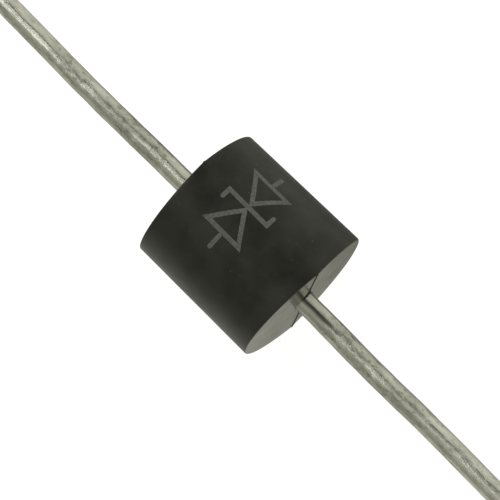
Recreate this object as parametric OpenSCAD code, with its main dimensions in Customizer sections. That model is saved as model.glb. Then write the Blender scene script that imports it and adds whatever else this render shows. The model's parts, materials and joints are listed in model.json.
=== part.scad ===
// Axial transient-voltage-suppressor diode: a chip soldered between two nail-head leads,
// sealed in a short cylinder of moulded epoxy. Millimetres. The leads lie along X, and the
// origin is the middle of the case.

/* [Case] */
// Diameter of the moulded case
case_d = 8.95; // [8.6:0.05:9.1]
// Length of the case along the leads, at the parting line
case_l = 8.95; // [8.6:0.05:9.1]
// Draft of each end face away from the parting plane, in degrees
end_draft = 3; // [1:0.5:5]
// Edge break round both end faces
rim_break = 0.1; // [0.05:0.01:0.3]
// Turn of the parting plane about the leads, from upright, in degrees
parting_turn = 12; // [-90:1:90]
// Thickness of the flash line that the mould leaves in the parting plane
flash_t = 0.08; // [0.04:0.01:0.2]
// Height of the flash line above the case
flash_h = 0.03; // [0.01:0.005:0.06]

/* [Leads] */
// Diameter of the lead wire
lead_d = 1.3; // [1.2:0.01:1.35]
// Length of each lead outside the case
lead_l = 25.4; // [20:0.1:40]
// Edge break at the cut tip of each lead
tip_break = 0.12; // [0.05:0.01:0.3]
// Diameter of the nail head inside the case
head_d = 6.2; // [5.6:0.1:6.6]
// Thickness of the nail head at its rim
head_t = 0.6; // [0.5:0.05:0.8]
// Height of the cone on the back of the nail head
head_cone_h = 0.5; // [0.2:0.05:0.8]
// Diameter of the wire's thickened neck behind the nail head
neck_d = 1.9; // [1.6:0.05:2.4]
// Depth below the end of the case at which the neck has run out
neck_cover = 0.05; // [0.04:0.01:0.1]

/* [Chip] */
// Side of the square chip
die_w = 4.2; // [3.6:0.1:4.4]
// Thickness of the chip
die_t = 0.3; // [0.2:0.02:0.4]
// Thickness of the solder on each face of the chip
solder_t = 0.08; // [0.05:0.01:0.12]
// Bare margin between the solder and the chip's edge
solder_inset = 0.15; // [0.05:0.05:0.3]
// Width of the nail head's rim that the coating covers
coat_lap = 0.4; // [0.3:0.05:0.45]
// Height of the coating's crown above the nail head's rim
coat_bulge = 0.5; // [0.3:0.05:0.55]

/* [Hidden] */
$fn = 96;

EPOXY_BLACK = "#2d2d2a";
TINNED_COPPER = "#b9b2a6";
SILICON_GREY = "#59606a";
SOLDER_GREY = "#9fa2a4";
SILICONE_WHITE = "#d8d4cc";

case_r = case_d / 2;
case_end_x = case_l / 2;
// Length of the tools that cut the case to shape, well past its far end
tool_l = 2 * case_l;

// Stations along one lead, measured from the middle of the chip
head_face_x = die_t / 2 + solder_t;
head_rim_x = head_face_x + head_t;
neck_x = head_rim_x + head_cone_h;
neck_end_x = case_end_x - neck_cover;
tip_x = case_end_x + lead_l;
lead_r = lead_d / 2;
head_r = head_d / 2;

solder_w = die_w - 2 * solder_inset;

// The coating's crown is one arc from head rim to head rim
coat_half_w = head_face_x + coat_lap;
coat_arc_r = (coat_half_w * coat_half_w + coat_bulge * coat_bulge) / (2 * coat_bulge);
coat_arc_centre = head_r + coat_bulge - coat_arc_r;

// Lays a shape made along +Z onto the lead axis: end 1 points to -X, end 2 to +X
module along_lead(end) {
    rotate([0, end == 1 ? -90 : 90, 0])
        children();
}

// Lays a round shape made along +Z onto +X, with its seam as far from the parting plane as it can be
module along_case() {
    rotate([90, 0, 90])
        children();
}

// One mould half's end of the case: the drafted face and the broken edge round it
module end_cut(end, side) {
    mirror([end == 1 ? 1 : 0, 0, 0])
        translate([case_end_x, 0, 0])
            rotate([0, 0, side * end_draft])
                along_case()
                    translate([0, 0, -tool_l])
                        cylinder(h = tool_l, r1 = case_r - rim_break + tool_l, r2 = case_r - rim_break);
}

// The cylinder that the two mould halves form, with both ends drafted like shallow roofs
module case_form() {
    intersection() {
        along_case()
            cylinder(h = tool_l, r = case_r, center = true);
        end_cut(1, -1);
        end_cut(1, 1);
        end_cut(2, -1);
        end_cut(2, 1);
    }
}

// Thin line of epoxy squeezed between the mould halves, right round the case
module flash_line() {
    x = case_end_x + flash_h;
    z = case_r + flash_h;
    corner = rim_break + flash_h * (2 - sqrt(2));
    rotate([90, 0, 0])
        linear_extrude(flash_t, center = true)
            polygon([
                [x - corner, -z], [x, -z + corner], [x, z - corner], [x - corner, z],
                [corner - x, z], [-x, z - corner], [-x, -z + corner], [corner - x, -z]
            ]);
}

// One wire with its cold-headed end: nail head, cone, tapered neck, straight lead, cut tip
module lead_form(end) {
    along_lead(end)
        rotate_extrude()
            polygon([
                [0, head_face_x], [head_r, head_face_x], [head_r, head_rim_x],
                [neck_d / 2, neck_x], [lead_r, neck_end_x],
                [lead_r, tip_x - tip_break], [lead_r - tip_break, tip_x], [0, tip_x]
            ]);
}

// Bead of coating with the heads, the solder and the chip still filled in
module coating_form() {
    along_lead(2)
        rotate_extrude()
            intersection() {
                union() {
                    translate([coat_arc_centre, 0])
                        circle(r = coat_arc_r);
                    translate([0, -coat_half_w])
                        square([coat_arc_centre, 2 * coat_half_w]);
                }
                translate([0, -coat_half_w])
                    square([head_d, 2 * coat_half_w]);
            }
}

// A square plate on the lead axis, from one station to another
module plate(end, width, from, to) {
    along_lead(end)
        translate([-width / 2, -width / 2, from])
            cube([width, width, to - from]);
}

module die_form() {
    plate(2, die_w, -die_t / 2, die_t / 2);
}

module solder_form(end) {
    plate(end, solder_w, die_t / 2, head_face_x);
}

module moulded_case() {
    color(EPOXY_BLACK)
        difference() {
            rotate([-parting_turn, 0, 0])
                union() {
                    case_form();
                    flash_line();
                }
            lead_form(1);
            lead_form(2);
            coating_form();
        }
}

module lead(end) {
    color(TINNED_COPPER)
        lead_form(end);
}

module silicon_die() {
    color(SILICON_GREY)
        die_form();
}

module solder_joint(end) {
    color(SOLDER_GREY)
        solder_form(end);
}

module junction_coating() {
    color(SILICONE_WHITE)
        difference() {
            coating_form();
            lead_form(1);
            lead_form(2);
            solder_form(1);
            solder_form(2);
            die_form();
        }
}

moulded_case();
lead(1);  // lead_1
lead(2);  // lead_2
silicon_die();
solder_joint(1);  // solder_joint_1
solder_joint(2);  // solder_joint_2
junction_coating();
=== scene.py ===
"""An axial surge-suppressor diode on a white table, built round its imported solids."""
import json
import math

import bpy
import numpy as np
from mathutils import Matrix, Vector, noise


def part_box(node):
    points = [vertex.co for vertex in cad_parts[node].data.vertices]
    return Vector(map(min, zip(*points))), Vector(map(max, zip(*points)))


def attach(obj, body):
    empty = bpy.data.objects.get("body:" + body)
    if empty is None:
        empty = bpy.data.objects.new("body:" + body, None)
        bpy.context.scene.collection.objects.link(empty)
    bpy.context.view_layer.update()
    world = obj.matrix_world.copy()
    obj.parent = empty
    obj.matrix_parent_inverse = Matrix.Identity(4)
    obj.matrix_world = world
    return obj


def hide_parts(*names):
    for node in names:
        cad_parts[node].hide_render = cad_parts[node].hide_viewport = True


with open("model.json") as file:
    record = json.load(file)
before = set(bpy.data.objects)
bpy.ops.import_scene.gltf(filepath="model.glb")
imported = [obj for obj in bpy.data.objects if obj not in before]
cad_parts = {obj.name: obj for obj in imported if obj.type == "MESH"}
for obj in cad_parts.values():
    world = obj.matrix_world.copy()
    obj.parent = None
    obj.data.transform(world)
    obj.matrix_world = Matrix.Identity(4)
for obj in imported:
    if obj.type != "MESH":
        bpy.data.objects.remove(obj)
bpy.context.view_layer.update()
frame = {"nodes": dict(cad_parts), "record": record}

MM = 0.001

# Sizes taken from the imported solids
case_low, case_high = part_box("moulded_case")
CASE_R = (case_high.z - case_low.z) / 2
mounts = {m["name"]: m for m in frame["record"]["mounts"]}
LEAD_R = mounts["lead_2_pin"]["dims"]["r_mm"] * MM
TIP_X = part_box("lead_2")[1].x
HEAD_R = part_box("lead_2")[1].y
HEAD_FACE_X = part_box("lead_2")[0].x
COAT_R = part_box("junction_coating")[1].y
COAT_HALF_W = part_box("junction_coating")[1].x

# Flash line in the parting plane: its height on the end faces and on the side, and half its width
FLASH_H = 0.03 * MM
SIDE_FLASH_H = 0.004 * MM
FLASH_HALF_W = 0.13 * MM
# What each half of it gains where it meets the lead, and how far out it is back to its own width
FLASH_SPREAD = 0.34 * MM
FLASH_SPREAD_L = 1.1 * MM
# Its ragged height: the middle and the swing as shares of the full height, and the length of a wave
RAGGED_MIDDLE = 0.75
RAGGED_SWING = 0.45
RAGGED_LENGTH = 0.6 * MM
# Half the width of the torn strip on it, where the tear is full and where it ends
TORN_HALF_W = (0.07 * MM, 0.11 * MM)

# Details of the moulding; a pair is for the mould halves towards +Y and -Y, which lie a little askew
CASE_END_X = case_high.x - FLASH_H
PARTING_TURN = math.radians(12)
NEAR_DRAFTS = (math.radians(2.85), math.radians(3.5))
FAR_DRAFTS = (math.radians(3.1), math.radians(2.85))
# How far each half is off towards +Y in the middle, and how much further at its near end
HALF_OFF = (0.045 * MM, 0.050 * MM)
HALF_LEAN = (0.115 * MM, 0.003 * MM)
RIM_R = 0.06 * MM
# How much rounder the near rim is where it is knocked, and the power by which that fades from +Y
RIM_WEAR = 0.22 * MM
RIM_WEAR_POWER = 8
# Bevel round each lead where it leaves the case
SEAT_W = 0.09 * MM

# Cold-headed end of each lead inside the case, as in the solids
HEAD_T = 0.6 * MM
HEAD_CONE_H = 0.5 * MM
NECK_R = 0.95 * MM
NECK_COVER = 0.05 * MM

# Unevenness that the mould, the drawing die and the tin bath leave
CASE_WAVE = 0.003 * MM
CASE_WAVE_LENGTH = 2.2 * MM
# Waves on the wire: height, length along the lead, width across it
LEAD_WAVES = (
    (0.020 * MM, 3.5 * MM, 0.9 * MM),
    (0.018 * MM, 1.2 * MM, 0.8 * MM),
    (0.005 * MM, 0.45 * MM, 0.4 * MM),
)
# Share of the free lead over which the unevenness sets in
WAVE_START = 0.03
# Sideways bow of each lead towards +Y, and its length as a share of the free lead
LEAD_BOW = {1: (-0.080 * MM, 0.6), 2: (-0.052 * MM, 0.4)}
# How far a lead rises with its bow towards -Y, as a share of the bow
BOW_RISE = 0.4
# How far both leads leave the case beside its middle
LEAD_OFF = -0.017 * MM
# How much thicker each wire is drawn than its size, and how far out of round, most between up and +Y
LEAD_EXTRA = {1: 0.0, 2: -0.010 * MM}
LEAD_OVAL = {1: 0.0, 2: 0.018 * MM}


def make_piece(name, vertices, faces, materials, face_materials=None, smooth=True):
    """A mesh that rides with the part."""
    mesh = bpy.data.meshes.new(name)
    mesh.from_pydata(vertices, [], faces)
    for material in materials:
        mesh.materials.append(material)
    mesh.polygons.foreach_set("use_smooth", [smooth] * len(mesh.polygons))
    if face_materials:
        mesh.polygons.foreach_set("material_index", face_materials)
    mesh.validate()
    mesh.update()
    piece = bpy.data.objects.new(name, mesh)
    bpy.context.scene.collection.objects.link(piece)
    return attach(piece, "root")


def around(x, radius, angle):
    """The point at an angle round the lead axis, from +Z towards +Y."""
    return Vector((x, radius * math.sin(angle), radius * math.cos(angle)))


# Camera: no roll, at the photograph's angle, aimed a little off the middle of the case
CAMERA_AZIMUTH = math.radians(45.5)
CAMERA_ELEVATION = math.radians(78.3)
CAMERA_DISTANCE = 200 * MM
CAMERA_CLIP = (CAMERA_DISTANCE / 20, CAMERA_DISTANCE * 50)
SENSOR_W = 36.0
IMAGE_SIDE_PX = 500
PX_PER_MM = 17.77
CASE_MIDDLE_PX = (248.67, 245.51)


def camera_back():
    """The way from the part to the camera."""
    flat = math.cos(CAMERA_ELEVATION)
    east, north = math.sin(CAMERA_AZIMUTH), math.cos(CAMERA_AZIMUTH)
    return Vector((flat * east, -flat * north, math.sin(CAMERA_ELEVATION)))


def make_camera():
    back = camera_back()
    turn = back.to_track_quat("Z", "Y")
    off_x = IMAGE_SIDE_PX / 2 - CASE_MIDDLE_PX[0]
    off_y = CASE_MIDDLE_PX[1] - IMAGE_SIDE_PX / 2
    aim = turn @ Vector((off_x, off_y, 0)) * (MM / PX_PER_MM)
    data = bpy.data.cameras.new("camera")
    data.sensor_width = SENSOR_W
    data.lens = PX_PER_MM * SENSOR_W / IMAGE_SIDE_PX * CAMERA_DISTANCE / MM
    data.clip_start, data.clip_end = CAMERA_CLIP
    camera = bpy.data.objects.new("camera", data)
    camera.rotation_mode = "QUATERNION"
    camera.rotation_quaternion = turn
    camera.location = aim + back * CAMERA_DISTANCE
    bpy.context.scene.collection.objects.link(camera)
    bpy.context.scene.camera = camera


class Nodes:
    """The node tree of a material or a world, with short calls for the nodes used here."""

    # Sockets of the mix node that are for colours
    MIX_FACTOR, MIX_FIRST, MIX_SECOND, MIX_RESULT = 0, 6, 7, 2

    def __init__(self, owner):
        self.owner = owner
        owner.use_nodes = True
        self.tree = owner.node_tree
        self.shader = self.tree.nodes.get("Principled BSDF") or self.tree.nodes["Background"]

    def feed(self, socket, value):
        """Links another node's output into a socket, or sets a constant on it."""
        if isinstance(value, bpy.types.NodeSocket):
            self.tree.links.new(value, socket)
        else:
            socket.default_value = value

    def add(self, kind, inputs=None, **settings):
        node = self.tree.nodes.new(kind)
        for key, value in settings.items():
            setattr(node, key, value)
        for key, value in (inputs or {}).items():
            self.feed(node.inputs[key], value)
        return node

    def where(self, kind="Object"):
        """Coordinates, of the kind asked for."""
        return self.add("ShaderNodeTexCoord").outputs[kind]

    def place(self, stretch=(1, 1, 1)):
        """Coordinates in millimetres, stretched along an axis where asked."""
        scale = [1 / (MM * s) for s in stretch]
        return self.add("ShaderNodeMapping", {"Vector": self.where(), "Scale": scale}).outputs[0]

    def split(self, vector):
        """The X, Y and Z of a vector."""
        return self.add("ShaderNodeSeparateXYZ", {0: vector}).outputs

    def noise(self, place, scale, detail=3.0, roughness=0.55):
        """Noise with the given number of features to the millimetre."""
        inputs = {"Vector": place, "Scale": scale, "Detail": detail, "Roughness": roughness}
        return self.add("ShaderNodeTexNoise", inputs).outputs["Fac"]

    def ramp(self, value, low, high, to_low=0.0, to_high=1.0):
        """The value carried from one range to another, and held at both ends."""
        inputs = {
            "Value": value, "From Min": low, "From Max": high, "To Min": to_low, "To Max": to_high,
        }
        return self.add("ShaderNodeMapRange", inputs).outputs["Result"]

    def mix(self, factor, first, second):
        """The first colour at factor 0, the second at 1."""
        inputs = {self.MIX_FACTOR: factor, self.MIX_FIRST: first, self.MIX_SECOND: second}
        return self.add("ShaderNodeMix", inputs, data_type="RGBA").outputs[self.MIX_RESULT]

    def math(self, operation, first, second=0.0):
        return self.add("ShaderNodeMath", {0: first, 1: second}, operation=operation).outputs[0]

    def vector(self, operation, result, first, second=(0, 0, 0)):
        """Vector arithmetic, with a result that is a Vector or a Value."""
        inputs = {0: first, 1: second}
        return self.add("ShaderNodeVectorMath", inputs, operation=operation).outputs[result]

    def bump(self, height, depth, normal=None):
        """A normal with relief of the given depth, laid over another normal where there is one."""
        inputs = {"Height": height, "Distance": depth, "Strength": 1.0}
        if normal:
            inputs["Normal"] = normal
        return self.add("ShaderNodeBump", inputs).outputs["Normal"]

    def set(self, **inputs):
        """Feeds the shader's own sockets, with _ for each space in their names."""
        for key, value in inputs.items():
            self.feed(self.shader.inputs[key.replace("_", " ")], value)
        return self.owner


# Epoxy: linear colours, dust, painted side light, roughness and depths of relief
EPOXY_BLACK = (0.0035, 0.0036, 0.0031, 1)
EPOXY_DUST_AND_SIDE_LIGHT = (0.0135, 0.0135, 0.0120, 1)
EPOXY_SPECK = (0.026, 0.026, 0.024, 1)
# End faces: dusty epoxy, paler and warmer, partly a painted warm reflection of the table
EPOXY_END_FACE_AND_GLARE = (0.033, 0.033, 0.024, 1)
EPOXY_TORN = (0.006, 0.006, 0.004, 1)
EPOXY_SPECULAR = 0.24
EPOXY_SPECULAR_TINT = (1.0, 1.0, 0.88, 1)
# Painted light: the epoxy paler towards -Y and darker towards +Y, added to the dust
PAINTED_SIDE_LIGHT = 0.3
EPOXY_ROUGHNESS = (0.34, 0.43)
# What the end faces add to the roughness at -Y and at +Y
END_FACE_POLISH = (-0.20, -0.16)
EPOXY_GRAIN = 0.0008 * MM
EPOXY_RIPPLE = 0.004 * MM
# How squarely the side and the end faces look along the leads
END_FACE_NORMAL = (0.5, 0.8)


def end_faces(n):
    """1 on the end faces of the case, 0 on its side."""
    x = n.split(n.where("Normal"))["X"]
    return n.ramp(n.math("ABSOLUTE", x), *END_FACE_NORMAL)


def from_parting_plane(n):
    """Distance from the mould's parting plane, towards +Y."""
    across = (0, math.cos(PARTING_TURN), -math.sin(PARTING_TURN))
    return n.vector("DOT_PRODUCT", "Value", n.where(), across)


def from_lead_axis(n):
    """Distance from the axis of the leads."""
    across = n.vector("MULTIPLY", "Vector", n.where(), (0, 1, 1))
    return n.vector("LENGTH", "Value", across)


def torn_flash(n):
    """1 on the torn strip of flash in the parting plane, which spreads at the lead, 0 elsewhere."""
    spread = n.ramp(from_lead_axis(n), LEAD_R, LEAD_R + FLASH_SPREAD_L, FLASH_SPREAD, 0.0)
    off = n.math("SUBTRACT", n.math("ABSOLUTE", from_parting_plane(n)), spread)
    return n.ramp(off, *TORN_HALF_W, to_low=1.0, to_high=0.0)


def epoxy_material():
    """Black epoxy with clouds of dust and painted light towards -Y, and with smoother, paler end
    faces that partly paint a warm reflection.
    """
    n = Nodes(bpy.data.materials.new("epoxy_black"))
    place = n.place()
    ends = end_faces(n)
    torn = n.math("MULTIPLY", torn_flash(n), ends)
    cloud = n.noise(place, scale=0.45, detail=3.0)
    grain = n.noise(place, scale=22.0, detail=2.0)
    ripple = n.noise(place, scale=1.3, detail=2.0)
    # Painted light: the dust mix pushed paler towards -Y and darker towards +Y
    painted_light_fade = n.ramp(from_parting_plane(n), -CASE_R, CASE_R, PAINTED_SIDE_LIGHT, -PAINTED_SIDE_LIGHT)
    dust_and_side_light = n.math("ADD", n.ramp(cloud, low=0.38, high=0.62), painted_light_fade)
    colour = n.mix(dust_and_side_light, EPOXY_BLACK, EPOXY_DUST_AND_SIDE_LIGHT)
    specks = n.ramp(n.noise(place, scale=5.0, detail=0.0), low=0.79, high=0.87)
    colour = n.mix(specks, colour, EPOXY_SPECK)
    # Paler, warmer end faces: dust, and partly a painted warm reflection of the table
    colour = n.mix(ends, colour, EPOXY_END_FACE_AND_GLARE)
    colour = n.mix(torn, colour, EPOXY_TORN)
    patches = n.noise(place, scale=0.8, detail=3.0)
    rough = n.ramp(patches, 0.3, 0.7, *EPOXY_ROUGHNESS)
    polish = n.ramp(from_parting_plane(n), -CASE_R, CASE_R, *END_FACE_POLISH)
    rough = n.math("ADD", rough, n.math("MULTIPLY", ends, polish))
    rough = n.math("MAXIMUM", rough, torn)
    normal = n.bump(grain, EPOXY_GRAIN, n.bump(ripple, EPOXY_RIPPLE))
    n.set(Specular_Tint=EPOXY_SPECULAR_TINT, Specular_IOR_Level=EPOXY_SPECULAR)
    return n.set(Base_Color=colour, Roughness=rough, Normal=normal)


# Tin: linear colours, roughness from bright to worn, depths of relief, drawing marks along the wire
TIN_DARK = (0.366, 0.366, 0.328, 1)
TIN_LIGHT = (0.430, 0.430, 0.386, 1)
TIN_SPECK = (0.265, 0.265, 0.245, 1)
TIN_SPECULAR_TINT = (0.8, 0.8, 0.8, 1)
TIN_ROUGHNESS = (0.285, 0.51)
TIN_CHATTER = 0.009 * MM
TIN_PITS = 0.034 * MM
TIN_ANISOTROPY = 0.94
QUARTER_TURN = 0.25
# Distance from the case at which the wear sets in, and at which it is full
WEAR_START = (1.0 * MM, 2.5 * MM)


def beyond_case(n):
    """0 where a lead leaves the case, 1 a little further out."""
    x = n.split(n.where())["X"]
    return n.ramp(n.math("ABSOLUTE", x), CASE_END_X + WEAR_START[0], CASE_END_X + WEAR_START[1])


def tin_material():
    """Satin tin with drawing marks along the wire, pitted and dull where it is worn."""
    n = Nodes(bpy.data.materials.new("tinned_copper"))
    patches = n.noise(n.place((3.5, 1, 1)), scale=0.9, detail=4.0, roughness=0.72)
    worn = n.math("MULTIPLY", n.ramp(patches, low=0.41, high=0.57), beyond_case(n))
    mottle = n.noise(n.place((2, 1, 1)), scale=2.6, detail=2.0)
    chatter = n.noise(n.place((2.5, 2, 2)), scale=3.5, detail=0.0)
    pits = n.ramp(n.noise(n.place(), scale=2.4, detail=0.5), low=0.5, high=0.75)
    specks = n.ramp(n.noise(n.place((1.6, 1, 1)), scale=5.0, detail=1.5), low=0.54, high=0.66)
    colour = n.mix(n.ramp(mottle, low=0.35, high=0.65), TIN_DARK, TIN_LIGHT)
    colour = n.mix(n.math("MULTIPLY", specks, worn), colour, TIN_SPECK)
    rough = n.ramp(worn, 0.0, 1.0, *TIN_ROUGHNESS)
    normal = n.bump(n.math("MULTIPLY", pits, worn), TIN_PITS)
    normal = n.bump(n.math("MULTIPLY", chatter, worn), TIN_CHATTER, normal)
    lengthwise = n.add("ShaderNodeTangent", direction_type="RADIAL", axis="X").outputs["Tangent"]
    n.set(Anisotropic=TIN_ANISOTROPY, Anisotropic_Rotation=QUARTER_TURN, Tangent=lengthwise)
    n.set(Base_Color=colour, Specular_Tint=TIN_SPECULAR_TINT)
    return n.set(Metallic=1.0, Roughness=rough, Normal=normal)


# The other materials: two linear colours that noise mixes, roughness, depth of relief
COPPER_DARK = (0.50, 0.20, 0.10, 1)
COPPER_LIGHT = (0.66, 0.34, 0.20, 1)
COPPER_ROUGHNESS = 0.38
COPPER_TEAR = 0.01 * MM
MARK_DARK = (0.042, 0.043, 0.039, 1)
MARK_LIGHT = (0.095, 0.096, 0.089, 1)
MARK_ROUGHNESS = 0.75
MARK_GRAIN = 0.006 * MM
SILICON_DARK = (0.085, 0.10, 0.125, 1)
SILICON_LIGHT = (0.12, 0.135, 0.16, 1)
SILICON_METALLIC = 0.6
SILICON_ROUGHNESS = (0.12, 0.25)
SOLDER_DARK = (0.30, 0.31, 0.32, 1)
SOLDER_LIGHT = (0.44, 0.45, 0.46, 1)
SOLDER_ROUGHNESS = 0.45
SOLDER_CRYSTALS = 0.01 * MM
SILICONE_DARK = (0.64, 0.62, 0.56, 1)
SILICONE_LIGHT = (0.72, 0.70, 0.64, 1)
SILICONE_ROUGHNESS = 0.5
SILICONE_WAVES = 0.02 * MM


def copper_material():
    """Bare copper of a cut tip, with tear marks across it."""
    n = Nodes(bpy.data.materials.new("cut_copper"))
    tear = n.noise(n.place((1, 0.2, 1)), scale=8.0, detail=4.0)
    colour = n.mix(n.ramp(tear, low=0.35, high=0.7), COPPER_DARK, COPPER_LIGHT)
    n.set(Base_Color=colour, Metallic=1.0, Roughness=COPPER_ROUGHNESS)
    return n.set(Normal=n.bump(tear, COPPER_TEAR))


def mark_material():
    """Epoxy that a laser has lightened and made grainy."""
    n = Nodes(bpy.data.materials.new("laser_mark"))
    grain = n.noise(n.place(), scale=8.0, detail=3.0, roughness=0.6)
    colour = n.mix(n.ramp(grain, low=0.3, high=0.72), MARK_DARK, MARK_LIGHT)
    n.set(Base_Color=colour, Roughness=MARK_ROUGHNESS)
    return n.set(Normal=n.bump(grain, MARK_GRAIN))


def silicon_material():
    n = Nodes(bpy.data.materials.new("silicon"))
    haze = n.noise(n.place(), scale=3.0)
    n.set(Base_Color=n.mix(haze, SILICON_DARK, SILICON_LIGHT), Metallic=SILICON_METALLIC)
    return n.set(Roughness=n.ramp(haze, 0.3, 0.7, *SILICON_ROUGHNESS))


def solder_material():
    n = Nodes(bpy.data.materials.new("solder"))
    crystals = n.noise(n.place(), scale=6.0, detail=4.0)
    n.set(Base_Color=n.mix(crystals, SOLDER_DARK, SOLDER_LIGHT), Metallic=1.0)
    return n.set(Roughness=SOLDER_ROUGHNESS, Normal=n.bump(crystals, SOLDER_CRYSTALS))


def silicone_material():
    n = Nodes(bpy.data.materials.new("silicone"))
    cloud = n.noise(n.place(), scale=2.0)
    n.set(Base_Color=n.mix(cloud, SILICONE_DARK, SILICONE_LIGHT))
    return n.set(Roughness=SILICONE_ROUGHNESS, Normal=n.bump(cloud, SILICONE_WAVES))


# Case: one closed section, carried round the leads
FACE_STEPS = 26
RIM_STEPS = 7
SIDE_STEPS = 40
COAT_STEPS = 12
HALF_TURN_STEPS = 150
PARTING_CROWDING = 0.97


def parting_angles():
    """Angles from the parting plane, once round, crowded where the flash line stands."""
    steps = np.arange(HALF_TURN_STEPS) / HALF_TURN_STEPS
    half = math.pi * steps - PARTING_CROWDING / 2 * np.sin(2 * math.pi * steps)
    return np.concatenate([half, math.pi + half])


def mould_half(from_parting):
    """0 on the mould half towards +Y, 1 on the other."""
    return 0 if math.sin(from_parting) > 0 else 1


def on_halves(x, radius, from_parting):
    """A point at an angle from the parting plane, on the mould halves as they lie."""
    half = mould_half(from_parting)
    askew = HALF_OFF[half] + HALF_LEAN[half] * x / CASE_END_X
    askew *= abs(math.sin(from_parting)) * radius / CASE_R
    return around(x, radius, PARTING_TURN + from_parting) + Vector((0, askew, 0))


def end_section(from_parting, drafts, wear):
    """Rows from the lead to the side of the case, at one angle: x, radius and the way outward."""
    rim_r = RIM_R + wear * max(0.0, math.sin(from_parting)) ** RIM_WEAR_POWER
    slope = math.tan(drafts[mould_half(from_parting)]) * abs(math.sin(from_parting))
    tilt = math.atan(slope)
    rows = []
    for radius in np.linspace(LEAD_R + SEAT_W, CASE_R - rim_r + rim_r * math.sin(tilt), FACE_STEPS):
        rows.append((CASE_END_X - slope * radius, radius, math.cos(tilt), math.sin(tilt)))
    centre_r = CASE_R - rim_r
    centre_x = CASE_END_X - slope * centre_r - rim_r / math.cos(tilt)
    for turn in np.linspace(tilt, math.pi / 2, RIM_STEPS + 1)[1:]:
        ahead, out = math.cos(turn), math.sin(turn)
        rows.append((centre_x + rim_r * ahead, centre_r + rim_r * out, ahead, out))
    return rows


def outer_section(from_parting):
    """Rows over the near end, the side and the far end of the case, at one angle."""
    near = end_section(from_parting, NEAR_DRAFTS, RIM_WEAR)
    far = end_section(from_parting, FAR_DRAFTS, 0.0)
    far = [(-x, radius, -ahead, out) for x, radius, ahead, out in reversed(far)]
    side = np.linspace(near[-1][0], far[0][0], SIDE_STEPS + 1)[1:-1]
    return near + [(x, CASE_R, 0.0, 1.0) for x in side] + far


def cavity_section():
    """(x, radius) along the sealed space for the lead heads and the coating, from +X to -X."""
    rim_x = HEAD_FACE_X + HEAD_T
    near = [(CASE_END_X - NECK_COVER, LEAD_R), (rim_x + HEAD_CONE_H, NECK_R), (rim_x, HEAD_R)]
    bulge = COAT_R - HEAD_R
    arc_r = (COAT_HALF_W ** 2 + bulge ** 2) / (2 * bulge)
    reach = math.asin(COAT_HALF_W / arc_r)
    arc = []
    for turn in np.linspace(reach, -reach, COAT_STEPS):
        arc.append((arc_r * math.sin(turn), COAT_R - arc_r + arc_r * math.cos(turn)))
    return near + arc + [(-x, r) for x, r in reversed(near)]


def flash_height(place, from_parting, radius):
    """How far the ragged flash line stands above the case at a point."""
    half_w = FLASH_HALF_W + FLASH_SPREAD * max(0.0, 1 - (radius - LEAD_R) / FLASH_SPREAD_L)
    off = radius * math.sin(from_parting)
    if abs(off) >= half_w:
        return 0.0
    ragged = RAGGED_MIDDLE + RAGGED_SWING * noise.noise(place / RAGGED_LENGTH)
    height = FLASH_H if abs(place.x) > CASE_END_X - RIM_R else SIDE_FLASH_H
    return height * ragged * (1 - (off / half_w) ** 2) ** 2


def make_case(material):
    vertices = []
    angles = parting_angles()
    cavity = cavity_section()
    for from_parting in angles:
        angle = PARTING_TURN + from_parting
        for x, radius, ahead, out in outer_section(from_parting):
            place = around(x, radius, angle)
            lift = flash_height(place, from_parting, radius)
            lift += CASE_WAVE * noise.noise(place / CASE_WAVE_LENGTH)
            vertices.append(on_halves(x + lift * ahead, radius + lift * out, from_parting))
        vertices.extend(around(x, radius, angle) for x, radius in reversed(cavity))
    ring = len(vertices) // len(angles)
    faces = []
    for turn in range(len(angles)):
        here, there = turn * ring, (turn + 1) % len(angles) * ring
        for k in range(ring):
            after = (k + 1) % ring
            faces.append((here + k, there + k, there + after, here + after))
    case = make_piece("case_moulding", vertices, faces, [material])
    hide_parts("moulded_case")
    return case


# Leads: one wire each, headed inside the case and cut off at the tip
LEAD_SIDES = 64
WIRE_STEP = 0.08 * MM
TIP_ROLL = 0.12 * MM
TIP_STEPS = 5
# Places of the two materials on a lead
TIN_INDEX = 0
COPPER_INDEX = 1


def wire_section():
    """(distance from the middle of the case, radius) from the chip to the tip."""
    rim_x = HEAD_FACE_X + HEAD_T
    rows = [(HEAD_FACE_X, HEAD_R), (rim_x, HEAD_R), (rim_x + HEAD_CONE_H, NECK_R)]
    start, end = CASE_END_X - NECK_COVER, TIP_X - TIP_ROLL
    for x in np.linspace(start, end, round((end - start) / WIRE_STEP)):
        rows.append((x, LEAD_R))
    for turn in np.linspace(0, math.pi / 2, TIP_STEPS + 1)[1:]:
        rows.append((end + TIP_ROLL * math.sin(turn), LEAD_R - TIP_ROLL * (1 - math.cos(turn))))
    return rows


def unevenness(place):
    """How far the waves on the wire stand out at a point."""
    total = 0.0
    for height, length, width in LEAD_WAVES:
        total += height * noise.noise(Vector((place.x / length, place.y / width, place.z / width)))
    return total


def wire_vertices(end, way, rows):
    """The rings of a wire, uneven and bowed, then the middles of its head and of its cut tip."""
    free = TIP_X - CASE_END_X
    neck_x = HEAD_FACE_X + HEAD_T + HEAD_CONE_H
    bow_height, bow_length = LEAD_BOW[end]
    vertices = []
    for x, radius in rows:
        out = max(0.0, x - CASE_END_X) / free
        bow = bow_height * math.sin(math.pi * out / bow_length) ** 2
        bow += LEAD_OFF * min(1.0, max(0.0, x - neck_x) / (CASE_END_X - neck_x))
        for k in range(LEAD_SIDES):
            angle = 2 * math.pi * k / LEAD_SIDES
            place = around(way * x, radius, angle)
            uneven = unevenness(place) + LEAD_EXTRA[end] + LEAD_OVAL[end] * math.sin(2 * angle)
            uneven *= min(1.0, out / WAVE_START)
            point = around(way * x, radius + uneven, angle)
            vertices.append(point + Vector((0, bow, -BOW_RISE * bow)))
    tip_middle = sum(vertices[-LEAD_SIDES:], Vector()) / LEAD_SIDES
    return vertices + [Vector((way * HEAD_FACE_X, 0, 0)), tip_middle]


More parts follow.
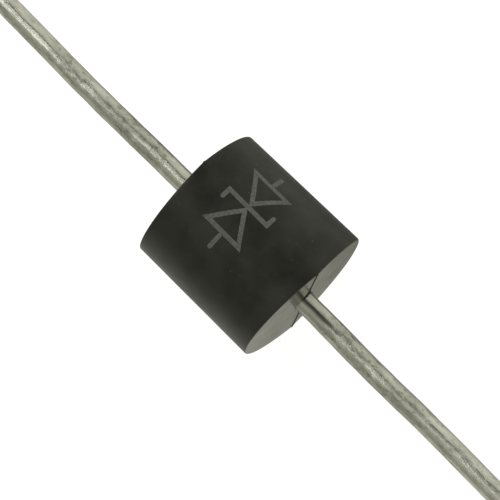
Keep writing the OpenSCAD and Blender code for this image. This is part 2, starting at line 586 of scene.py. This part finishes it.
def wire_faces(way, rows):
    """Faces between the rings and over both ends, and the place of each one's material."""
    tip_ring = (len(rows) - 1) * LEAD_SIDES
    head_middle = len(rows) * LEAD_SIDES
    tip_middle = head_middle + 1
    faces, kinds = [], []
    for ring in range(0, tip_ring, LEAD_SIDES):
        for k in range(LEAD_SIDES):
            here, after = ring + k, ring + (k + 1) % LEAD_SIDES
            faces.append((here, after, after + LEAD_SIDES, here + LEAD_SIDES))
            kinds.append(TIN_INDEX)
    for k in range(LEAD_SIDES):
        after = (k + 1) % LEAD_SIDES
        faces.append((head_middle, after, k))
        faces.append((tip_middle, tip_ring + k, tip_ring + after))
        kinds += [TIN_INDEX, COPPER_INDEX]
    return [face if way < 0 else face[::-1] for face in faces], kinds


def make_lead(end, tin, copper):
    """Lead 1 points to -X and lead 2 to +X."""
    way = -1 if end == 1 else 1
    rows = wire_section()
    faces, kinds = wire_faces(way, rows)
    vertices = wire_vertices(end, way, rows)
    lead = make_piece(f"lead_wire_{end}", vertices, faces, [tin, copper], kinds)
    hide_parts(f"lead_{end}")
    return lead


# Mark: the plain circuit symbol of a two-way suppressor, burnt into the epoxy
STROKE_W = 0.27 * MM
MARK_LIFT = 0.006 * MM
MARK_X = -0.90 * MM
MARK_ANGLE = math.radians(11)
MARK_STEP = 0.08 * MM
TRIANGLE_L = 1.75 * MM
TRIANGLE_W = 2.45 * MM
BAR_W = 2.9 * MM
BAR_WING = 0.55 * MM
TAIL_L = 1.1 * MM
# Angles round the end of a stroke, in degrees
CAP_TURNS = (20, 40, 60, 80)
# Corners of a stroke's cross-section: upper left, upper right, lower right, lower left
STROKE_CORNERS = 4


def fine_path(corners, closed):
    """The path's corners with even steps between them."""
    points = []
    ends = corners[1:] + corners[:1] if closed else corners[1:]
    for a, b in zip(corners, ends):
        steps = max(1, round((b - a).length / MARK_STEP))
        points.extend(a.lerp(b, k / steps) for k in range(steps))
    return points if closed else points + [corners[-1]]


def round_ends(path):
    """An open path with its ends drawn out, and at each point the share of the stroke's width."""
    start, end = (path[0] - path[1]).normalized(), (path[-1] - path[-2]).normalized()
    turns = [math.radians(t) for t in CAP_TURNS]
    shares = [math.cos(t) for t in turns]
    before = [path[0] + start * (STROKE_W / 2 * math.sin(t)) for t in reversed(turns)]
    after = [path[-1] + end * (STROKE_W / 2 * math.sin(t)) for t in turns]
    return before + path + after, shares[::-1] + [1.0] * len(path) + shares


def stroke_outline(path, shares, closed):
    """Left and right edges of a stroke along a path, mitred at the corners."""
    count = len(path)
    left, right = [], []
    for k, point in enumerate(path):
        before = path[(k - 1) % count] if closed or k else None
        after = path[(k + 1) % count] if closed or k < count - 1 else None
        ways = [(b - a).normalized() for a, b in ((before, point), (point, after)) if a and b]
        across = sum((Vector((-w.y, w.x)) for w in ways), Vector((0, 0))).normalized()
        reach = shares[k] * STROKE_W / 2 / across.dot(Vector((-ways[0].y, ways[0].x)))
        left.append(point + across * reach)
        right.append(point - across * reach)
    return left, right


def on_case(point, lift):
    """A flat point of the mark, wrapped round the case: first along the lead, then round it."""
    from_parting = MARK_ANGLE + point.y / CASE_R - PARTING_TURN
    return on_halves(MARK_X + point.x, CASE_R + lift, from_parting)


def add_stroke(corners, closed, vertices, faces):
    """A closed stroke, half above the case and half sunk into it."""
    path = fine_path([Vector(c) for c in corners], closed)
    shares = [1.0] * len(path)
    if not closed:
        path, shares = round_ends(path)
    first = len(vertices)
    for a, b in zip(*stroke_outline(path, shares, closed)):
        vertices.extend((on_case(a, MARK_LIFT), on_case(b, MARK_LIFT)))
        vertices.extend((on_case(b, -MARK_LIFT), on_case(a, -MARK_LIFT)))
    count = len(path)
    for k in range(count if closed else count - 1):
        here = first + STROKE_CORNERS * k
        there = first + STROKE_CORNERS * ((k + 1) % count)
        for side in range(STROKE_CORNERS):
            after = (side + 1) % STROKE_CORNERS
            faces.append((here + side, here + after, there + after, there + side))
    if not closed:
        last = first + STROKE_CORNERS * (count - 1)
        faces.append((first, first + 3, first + 2, first + 1))
        faces.append((last, last + 1, last + 2, last + 3))


def make_mark(material):
    vertices, faces = [], []
    half_w, half_bar = TRIANGLE_W / 2, BAR_W / 2
    gap = STROKE_W
    for way in (-1, 1):
        base = way * (gap + TRIANGLE_L)
        triangle = [(0, way * gap), (half_w, base), (-half_w, base)]
        add_stroke(triangle, True, vertices, faces)
        tail = [(0, base + way * STROKE_W), (0, base + way * TAIL_L)]
        add_stroke(tail, False, vertices, faces)
    bar = [(-half_bar, -BAR_WING), (-half_bar, 0), (half_bar, 0), (half_bar, BAR_WING)]
    add_stroke(bar, False, vertices, faces)
    mark = make_piece("suppressor_symbol", vertices, faces, [material], smooth=False)
    return mark


# Table: its side in metres, and what it gives back of the light
FLOOR_SIDE = 1.2
FLOOR_COLOUR = (0.22, 0.22, 0.21, 1)
FLOOR_ROUGHNESS = 0.9
# Glow of the table straight to the camera
TABLE_WHITE = (1.0, 1.0, 1.0, 1)
TABLE_GLOW = 0.90
# Its glow in reflections, from -Y to +Y: painted light, with a painted shadow of the case; places in
# metres
MIRRORED_WARM = (1.0, 1.0, 0.86, 1)
MIRRORED_GLOW = (0.30, 1.0)
MIRRORED_PAINTED_FADE_Y = (-0.034, 0.006)
PAINTED_SHADOW_MIDDLE = (0.0, 0.009, 0.0)
PAINTED_SHADOW_REACH = (0.004, 0.021)
PAINTED_SHADOW_SHARE = 0.15


def table_material():
    """White to the camera, warmer in reflections with a painted pool of light and a painted shadow,
    plain grey to all other light.
    """
    n = Nodes(bpy.data.materials.new("table_white"))
    rays = n.add("ShaderNodeLightPath").outputs
    seen = n.math("MULTIPLY", rays["Is Camera Ray"], TABLE_GLOW)
    mirrored = n.math("MAXIMUM", rays["Is Glossy Ray"], rays["Is Transmission Ray"])
    where = n.where()
    # Painted light and shadow, in reflections only: a pool fading towards -Y and a shadow of the
    # case beside it
    painted_light_fade = n.ramp(n.split(where)["Y"], *MIRRORED_PAINTED_FADE_Y, *MIRRORED_GLOW)
    flat = n.vector("MULTIPLY", "Vector", where, (1, 1, 0))
    apart = n.vector("DISTANCE", "Value", flat, PAINTED_SHADOW_MIDDLE)
    shade = n.ramp(apart, *PAINTED_SHADOW_REACH, to_low=PAINTED_SHADOW_SHARE, to_high=1.0)
    mirrored = n.math("MULTIPLY", mirrored, n.math("MULTIPLY", painted_light_fade, shade))
    glow = n.math("MAXIMUM", seen, mirrored)
    tint = n.mix(rays["Is Camera Ray"], MIRRORED_WARM, TABLE_WHITE)
    n.set(Emission_Color=tint, Emission_Strength=glow)
    return n.set(Base_Color=FLOOR_COLOUR, Roughness=FLOOR_ROUGHNESS, Specular_IOR_Level=0.0)


def make_floor():
    half = FLOOR_SIDE / 2
    sides = ((-half, -half), (half, -half), (half, half), (-half, half))
    mesh = bpy.data.meshes.new("table")
    mesh.from_pydata([(x, y, -CASE_R) for x, y in sides], [], [(0, 1, 2, 3)])
    mesh.materials.append(table_material())
    table = bpy.data.objects.new("table", mesh)
    bpy.context.scene.collection.objects.link(table)


# Brightness of the room round the lead axis: degrees from straight up, towards +Y
ROOM = (
    (-90, 0.56), (-70, 0.66), (-58, 0.80), (-48, 0.92), (-38, 0.80), (-27, 0.50), (-17, 0.26),
    (-8, 0.12), (15, 0.12), (18.5, 0.88), (34, 1.18), (50, 1.35), (90, 1.35),
)
ROOM_TINT = (1.0, 0.995, 0.89)
# It brightens towards +X, and towards both ends of the leads it is plain
ROOM_LEAN = 0.3
ROOM_PLAIN = 0.8
ROOM_PLAIN_X = (0.8, 0.95)

# Key lamp: a soft strip over the -X, -Y side, which lies along Y; sizes in metres
KEY_TOWARD = Vector((-0.54, -0.225, 0.81))
KEY_DISTANCE = 0.30
KEY_ALONG = Vector((0, 1, 0))
KEY_SIZE = (0.225, 0.07)
# At level 1 the lamp alone would show a colour as written
KEY_LEVEL = 0.45
KEY_TINT = (1.0, 0.995, 0.93)


def room_colour(level):
    return [level * c for c in ROOM_TINT] + [1]


def make_room():
    """The light all round: bands along the leads, and white where the camera sees past the table."""
    world = bpy.data.worlds.new("studio")
    bpy.context.scene.world = world
    n = Nodes(world)
    toward = n.split(n.where("Generated"))
    angle = n.math("ARCTAN2", toward["Y"], toward["Z"])
    bands = n.add("ShaderNodeValToRGB", {0: n.ramp(angle, -math.pi, math.pi)})
    stops = bands.color_ramp.elements
    while len(stops) < len(ROOM):
        stops.new(1.0)
    for stop, (degrees, level) in zip(stops, ROOM):
        stop.position = 0.5 + degrees / 360
        stop.color = room_colour(level)
    plain = n.ramp(n.math("ABSOLUTE", toward["X"]), *ROOM_PLAIN_X)
    colour = n.mix(plain, bands.outputs["Color"], room_colour(ROOM_PLAIN))
    lean = n.ramp(toward["X"], -1, 1, 1 - ROOM_LEAN, 1 + ROOM_LEAN)
    seen = n.add("ShaderNodeLightPath").outputs["Is Camera Ray"]
    n.set(Color=n.mix(seen, colour, TABLE_WHITE), Strength=n.math("MAXIMUM", lean, seen))


def make_key_lamp():
    """A flat lamp that faces the part."""
    back = KEY_TOWARD.normalized()
    side = (KEY_ALONG - back * back.dot(KEY_ALONG)).normalized()
    data = bpy.data.lights.new("key_box", "AREA")
    data.shape = "RECTANGLE"
    data.size, data.size_y = KEY_SIZE
    data.color = KEY_TINT
    data.energy = KEY_LEVEL * (math.pi * KEY_DISTANCE) ** 2
    lamp = bpy.data.objects.new("key_box", data)
    turn = Matrix((side, back.cross(side), back)).transposed().to_4x4()
    lamp.matrix_world = Matrix.Translation(back * KEY_DISTANCE) @ turn
    bpy.context.scene.collection.objects.link(lamp)


make_camera()
tin = tin_material()
copper = copper_material()
make_case(epoxy_material())
make_lead(1, tin, copper)
make_lead(2, tin, copper)
make_mark(mark_material())
INNER_MATERIALS = {
    "silicon_die": silicon_material(),
    "solder_joint_1": solder_material(),
    "solder_joint_2": solder_material(),
    "junction_coating": silicone_material(),
}
for node_name, inner_material in INNER_MATERIALS.items():
    frame["nodes"][node_name].data.materials.clear()
    frame["nodes"][node_name].data.materials.append(inner_material)
make_floor()
make_room()
make_key_lamp()
bpy.context.scene.view_settings.view_transform = "Standard"
